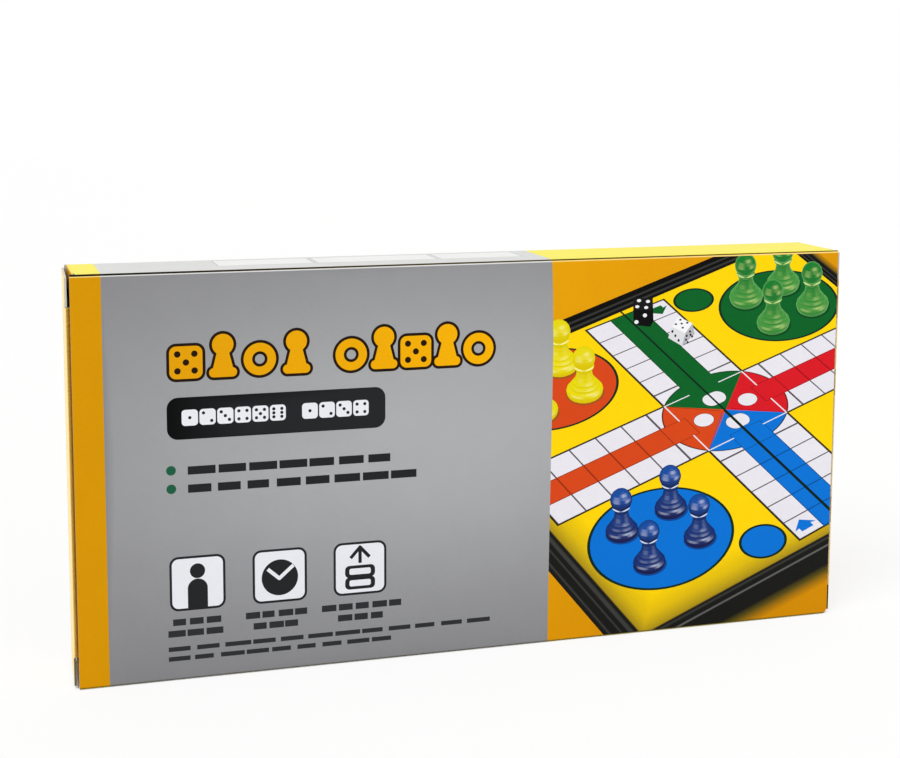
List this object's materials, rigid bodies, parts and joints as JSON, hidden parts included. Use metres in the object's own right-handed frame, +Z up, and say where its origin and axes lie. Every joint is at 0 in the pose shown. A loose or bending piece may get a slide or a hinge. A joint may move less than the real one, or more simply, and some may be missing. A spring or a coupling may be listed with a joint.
{
  "type": "folding ludo board box",
  "caption": "Slim retail carton with slit-locked tuck ends, holding a folded magnetic ludo board case with pawns, dice and a rules leaflet.",
  "frame": {"origin": "middle of the face that the carton stands on", "axes": "+X along the carton, to the right seen from its printed front; +Y from the front to the back; +Z up"},
  "size_m": [0.2588, 0.027, 0.128],
  "materials": {
    "printed_board": "glossy coated carton board, grey print with yellow ends",
    "end_board": "glossy coated carton board, pale yellow",
    "tuck_board": "glossy coated carton board, yellow",
    "dust_board": "coated carton board, yellow outside, white inside",
    "leaflet_paper": "thin white paper",
    "case_plastic": "fine-grained black styrene",
    "tinplate": "printed and varnished tinplate",
    "pin_steel": "drawn steel wire",
    "pawn_red": "glossy moulded plastic",
    "pawn_green": "glossy moulded plastic",
    "pawn_blue": "glossy moulded plastic",
    "pawn_yellow": "glossy moulded plastic",
    "magnet_rubber": "magnetic rubber sheet",
    "die_white": "glossy moulded plastic",
    "die_black": "glossy moulded plastic"
  },
  "bodies": {
    "carton": {"carton_sleeve": "printed_board", "instruction_leaflet": "leaflet_paper", "case_half_front": "case_plastic", "case_half_back": "case_plastic", "play_sheet_front": "tinplate", "play_sheet_back": "tinplate", "hinge_pin_left": "pin_steel", "hinge_pin_right": "pin_steel", "pawns_red": "pawn_red", "pawns_green": "pawn_green", "pawns_blue": "pawn_blue", "pawns_yellow": "pawn_yellow", "pawn_magnets": "magnet_rubber", "die_white": "die_white", "die_black": "die_black"},
    "end_flap_left": {"end_flap_left": "end_board"},
    "tuck_tongue_left": {"tuck_tongue_left": "tuck_board"},
    "dust_flap_top_left": {"dust_flap_top_left": "dust_board"},
    "dust_flap_bottom_left": {"dust_flap_bottom_left": "dust_board"},
    "end_flap_right": {"end_flap_right": "end_board"},
    "tuck_tongue_right": {"tuck_tongue_right": "tuck_board"},
    "dust_flap_top_right": {"dust_flap_top_right": "dust_board"},
    "dust_flap_bottom_right": {"dust_flap_bottom_right": "dust_board"}
  },
  "joints": [
    {"name": "end_flap_left_fold", "type": "hinge", "parent": "carton", "child": "end_flap_left", "pos_m": [-0.1282, 0.0132, 0.064], "axis": [0, 0, -1], "range_deg": [0, 178]},
    {"name": "tuck_tongue_left_fold", "type": "hinge", "parent": "end_flap_left", "child": "tuck_tongue_left", "pos_m": [-0.12909, -0.01223, 0.064], "axis": [0, 0, 1], "range_deg": [0, 35.6]},
    {"name": "dust_flap_top_left_fold", "type": "hinge", "parent": "carton", "child": "dust_flap_top_left", "pos_m": [-0.1268, 0, 0.1277], "axis": [0, 1, 0], "range_deg": [0, 89]},
    {"name": "dust_flap_bottom_left_fold", "type": "hinge", "parent": "carton", "child": "dust_flap_bottom_left", "pos_m": [-0.1268, 0, 0.0003], "axis": [0, -1, 0], "range_deg": [0, 89]},
    {"name": "end_flap_right_fold", "type": "hinge", "parent": "carton", "child": "end_flap_right", "pos_m": [0.1282, 0.0132, 0.064], "axis": [0, 0, 1], "range_deg": [0, 178]},
    {"name": "tuck_tongue_right_fold", "type": "hinge", "parent": "end_flap_right", "child": "tuck_tongue_right", "pos_m": [0.12909, -0.01223, 0.064], "axis": [0, 0, -1], "range_deg": [0, 35.6]},
    {"name": "dust_flap_top_right_fold", "type": "hinge", "parent": "carton", "child": "dust_flap_top_right", "pos_m": [0.1268, 0, 0.1277], "axis": [0, -1, 0], "range_deg": [0, 89]},
    {"name": "dust_flap_bottom_right_fold", "type": "hinge", "parent": "carton", "child": "dust_flap_bottom_right", "pos_m": [0.1268, 0, 0.0003], "axis": [0, 1, 0], "range_deg": [0, 89]}
  ],
  "couplings": [
    {"joint": "tuck_tongue_left_fold", "follows": "end_flap_left_fold", "ratio": 0.2},
    {"joint": "dust_flap_top_left_fold", "follows": "end_flap_left_fold", "ratio": 0.5},
    {"joint": "dust_flap_bottom_left_fold", "follows": "end_flap_left_fold", "ratio": 0.5},
    {"joint": "tuck_tongue_right_fold", "follows": "end_flap_right_fold", "ratio": 0.2},
    {"joint": "dust_flap_top_right_fold", "follows": "end_flap_right_fold", "ratio": 0.5},
    {"joint": "dust_flap_bottom_right_fold", "follows": "end_flap_right_fold", "ratio": 0.5}
  ]
}
